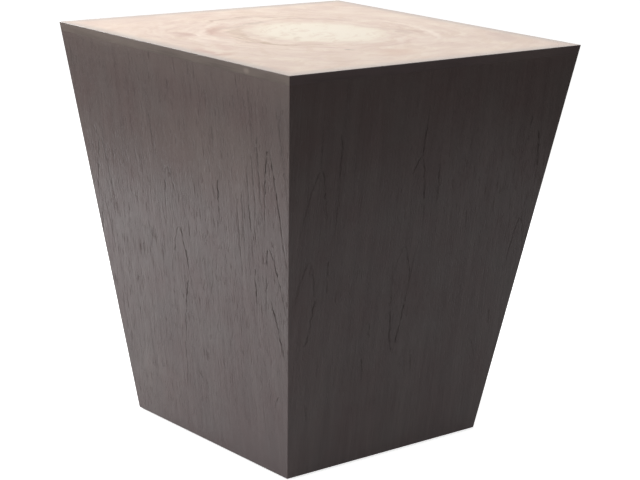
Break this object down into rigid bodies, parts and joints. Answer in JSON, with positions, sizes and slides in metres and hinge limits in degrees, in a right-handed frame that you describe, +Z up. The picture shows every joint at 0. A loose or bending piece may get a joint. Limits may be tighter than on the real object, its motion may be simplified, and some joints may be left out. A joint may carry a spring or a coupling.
{
  "type": "side table",
  "caption": "Square side table with tapering dark veneered sides, a pale figured stone top in a thin dark lipping and levelling feet hidden under the case.",
  "frame": {"origin": "on the floor under the middle of the table, at the levelling feet's undersides", "axes": "+Z up, +X to the right and -Y the front; the table is alike on all four sides"},
  "size_m": [0.5078, 0.5078, 0.559],
  "materials": {
    "petrified_wood": "honed petrified wood, cream heart with pink and tan rings",
    "stained_veneer": "grey-brown stained open-grain veneer, satin lacquer",
    "panel_board": "particle board with sealed dark edges",
    "balancing_veneer": "plain unstained veneer",
    "plywood": "birch plywood, sanded",
    "softwood": "planed pine",
    "painted_board": "plywood painted black underneath",
    "zinc_steel": "bright zinc plated steel",
    "nylon": "moulded black nylon"
  },
  "bodies": {
    "case": {"top_slab": "petrified_wood", "sub_top": "plywood", "base_board": "painted_board", "front_lipping": "stained_veneer", "front_face_veneer": "stained_veneer", "front_panel_core": "panel_board", "front_balancing_veneer": "balancing_veneer", "front_top_cleat": "softwood", "front_base_cleat": "softwood", "right_lipping": "stained_veneer", "right_face_veneer": "stained_veneer", "right_panel_core": "panel_board", "right_balancing_veneer": "balancing_veneer", "right_top_cleat": "softwood", "right_base_cleat": "softwood", "back_lipping": "stained_veneer", "back_face_veneer": "stained_veneer", "back_panel_core": "panel_board", "back_balancing_veneer": "balancing_veneer", "back_top_cleat": "softwood", "back_base_cleat": "softwood", "left_lipping": "stained_veneer", "left_face_veneer": "stained_veneer", "left_panel_core": "panel_board", "left_balancing_veneer": "balancing_veneer", "left_top_cleat": "softwood", "left_base_cleat": "softwood", "front_right_corner_spline": "plywood", "front_right_corner_block": "softwood", "back_right_corner_spline": "plywood", "back_right_corner_block": "softwood", "back_left_corner_spline": "plywood", "back_left_corner_block": "softwood", "front_left_corner_spline": "plywood", "front_left_corner_block": "softwood", "leveller_inserts": "zinc_steel", "base_board_screws": "zinc_steel"},
    "front_right_pad": {"front_right_leveller_pad": "nylon"},
    "front_right_stud": {"front_right_leveller_stud": "zinc_steel"},
    "back_right_pad": {"back_right_leveller_pad": "nylon"},
    "back_right_stud": {"back_right_leveller_stud": "zinc_steel"},
    "back_left_pad": {"back_left_leveller_pad": "nylon"},
    "back_left_stud": {"back_left_leveller_stud": "zinc_steel"},
    "front_left_pad": {"front_left_leveller_pad": "nylon"},
    "front_left_stud": {"front_left_leveller_stud": "zinc_steel"}
  },
  "joints": [
    {"name": "front_right_leveller_rise", "type": "slide", "parent": "case", "child": "front_right_pad", "axis": [0, 0, 1], "range_m": [-0.01, 0.0025]},
    {"name": "front_right_leveller_turn", "type": "hinge", "parent": "front_right_pad", "child": "front_right_stud", "pos_m": [0.12145, -0.12145, 0], "axis": [0, 0, 1], "range_deg": [-2880, 720]},
    {"name": "back_right_leveller_rise", "type": "slide", "parent": "case", "child": "back_right_pad", "axis": [0, 0, 1], "range_m": [-0.01, 0.0025]},
    {"name": "back_right_leveller_turn", "type": "hinge", "parent": "back_right_pad", "child": "back_right_stud", "pos_m": [0.12145, 0.12145, 0], "axis": [0, 0, 1], "range_deg": [-2880, 720]},
    {"name": "back_left_leveller_rise", "type": "slide", "parent": "case", "child": "back_left_pad", "axis": [0, 0, 1], "range_m": [-0.01, 0.0025]},
    {"name": "back_left_leveller_turn", "type": "hinge", "parent": "back_left_pad", "child": "back_left_stud", "pos_m": [-0.12145, 0.12145, 0], "axis": [0, 0, 1], "range_deg": [-2880, 720]},
    {"name": "front_left_leveller_rise", "type": "slide", "parent": "case", "child": "front_left_pad", "axis": [0, 0, 1], "range_m": [-0.01, 0.0025]},
    {"name": "front_left_leveller_turn", "type": "hinge", "parent": "front_left_pad", "child": "front_left_stud", "pos_m": [-0.12145, -0.12145, 0], "axis": [0, 0, 1], "range_deg": [-2880, 720]}
  ],
  "couplings": [
    {"joint": "front_right_leveller_rise", "follows": "front_right_leveller_turn", "m_per_rad": 0.00019894},
    {"joint": "back_right_leveller_rise", "follows": "back_right_leveller_turn", "m_per_rad": 0.00019894},
    {"joint": "back_left_leveller_rise", "follows": "back_left_leveller_turn", "m_per_rad": 0.00019894},
    {"joint": "front_left_leveller_rise", "follows": "front_left_leveller_turn", "m_per_rad": 0.00019894}
  ]
}
